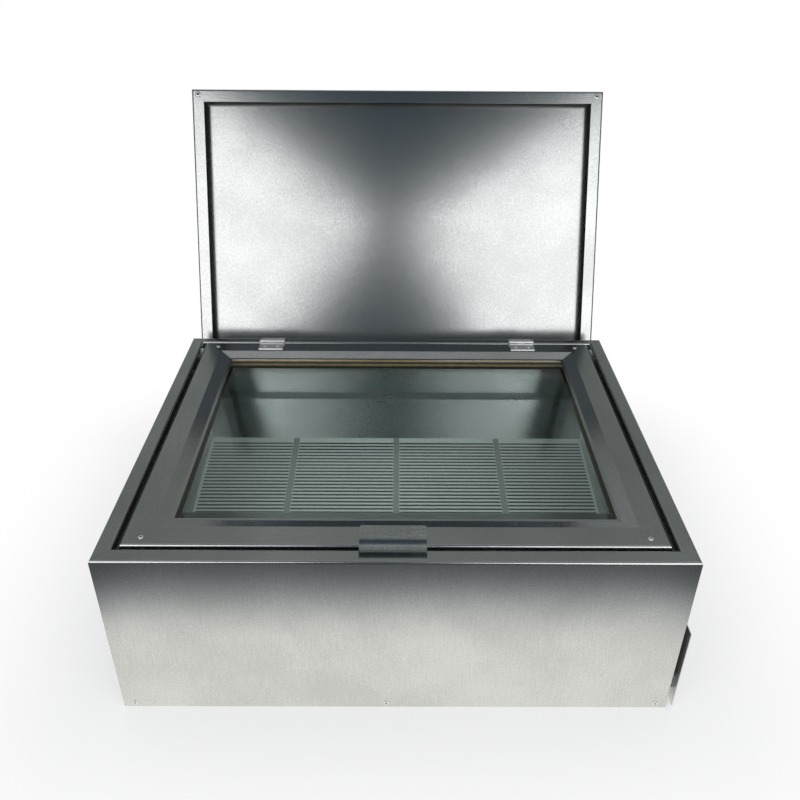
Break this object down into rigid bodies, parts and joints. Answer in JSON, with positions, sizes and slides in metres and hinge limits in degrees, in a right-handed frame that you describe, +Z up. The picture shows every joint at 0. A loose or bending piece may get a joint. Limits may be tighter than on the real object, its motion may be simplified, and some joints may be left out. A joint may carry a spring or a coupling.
{
  "type": "solar wax melter",
  "caption": "Double-walled sheet-metal solar wax melter with a hinged double-glazed frame, leaning mirror cover, slotted comb basket and side wax drawer.",
  "frame": {"origin": "middle of the underside of the casing", "axes": "+X to the right as seen from the front, front at -Y, +Z up"},
  "size_m": [0.7121, 0.7837, 0.6183],
  "materials": {
    "galvanised_sheet": "galvanised, satin",
    "bright_sheet": "bright tinned or stainless sheet",
    "mirror_sheet": "bright, reflecting",
    "zinc_fittings": "bright zinc plate",
    "mineral_wool": "matt fibre board",
    "seal_strip": "matt",
    "spacer_strip": "plain",
    "glass": "clear float glass"
  },
  "bodies": {
    "casing": {"front_panel": "galvanised_sheet", "rear_panel": "galvanised_sheet", "left_panel": "galvanised_sheet", "right_panel": "galvanised_sheet", "base_tray": "galvanised_sheet", "liner_floor": "bright_sheet", "liner_left": "bright_sheet", "liner_right": "bright_sheet", "liner_front": "bright_sheet", "liner_rear": "bright_sheet", "insulation_floor": "mineral_wool", "insulation_left": "mineral_wool", "insulation_right": "mineral_wool", "insulation_front": "mineral_wool", "insulation_rear": "mineral_wool", "hatch_sleeve": "galvanised_sheet", "ledge_front": "galvanised_sheet", "ledge_rear": "galvanised_sheet", "ledge_left": "galvanised_sheet", "ledge_right": "galvanised_sheet", "frame_seal": "seal_strip", "hinge_rear_leaves": "zinc_fittings", "hinge_pins": "zinc_fittings", "hinge_rear_screws": "zinc_fittings", "base_rivets": "zinc_fittings", "runner_left": "galvanised_sheet", "runner_right": "galvanised_sheet", "drip_pan": "bright_sheet", "drawer_guides": "galvanised_sheet", "cover_holder_left": "galvanised_sheet", "cover_holder_right": "galvanised_sheet", "holder_rivets": "zinc_fittings"},
    "glass_frame": {"frame_front": "galvanised_sheet", "frame_rear": "galvanised_sheet", "frame_left": "galvanised_sheet", "frame_right": "galvanised_sheet", "upper_pane": "glass", "lower_pane": "glass", "pane_spacer": "spacer_strip", "pane_retainer": "galvanised_sheet", "handle_tab": "galvanised_sheet", "hinge_front_leaves": "zinc_fittings", "hinge_front_screws": "zinc_fittings", "corner_plates": "galvanised_sheet", "frame_rivets": "zinc_fittings"},
    "basket": {"slotted_floor": "bright_sheet", "basket_left": "bright_sheet", "basket_right": "bright_sheet", "basket_front": "bright_sheet", "basket_back": "bright_sheet"},
    "wax_drawer": {"wax_pan": "bright_sheet", "drawer_plate": "galvanised_sheet", "drawer_rivets": "zinc_fittings"},
    "cover": {"mirror_cover": "mirror_sheet", "cover_edge_top": "galvanised_sheet", "cover_edge_foot": "galvanised_sheet", "cover_edge_left": "galvanised_sheet", "cover_edge_right": "galvanised_sheet", "cover_rivets": "zinc_fittings"}
  },
  "joints": [
    {"name": "frame_hinge", "type": "hinge", "parent": "casing", "child": "glass_frame", "pos_m": [0, 0.2615, 0.253], "axis": [-1, 0, 0], "range_deg": [0, 105]},
    {"name": "cover_lift", "type": "slide", "parent": "casing", "child": "cover", "axis": [0, 0.3584, 0.9336], "range_m": [0, 0.2]},
    {"name": "drawer_slide", "type": "slide", "parent": "casing", "child": "wax_drawer", "axis": [1, 0, 0], "range_m": [-0.0075, 0.3]},
    {"name": "basket_lift", "type": "slide", "parent": "casing", "child": "basket", "axis": [0, 0, 1], "range_m": [0, 0.05]}
  ]
}
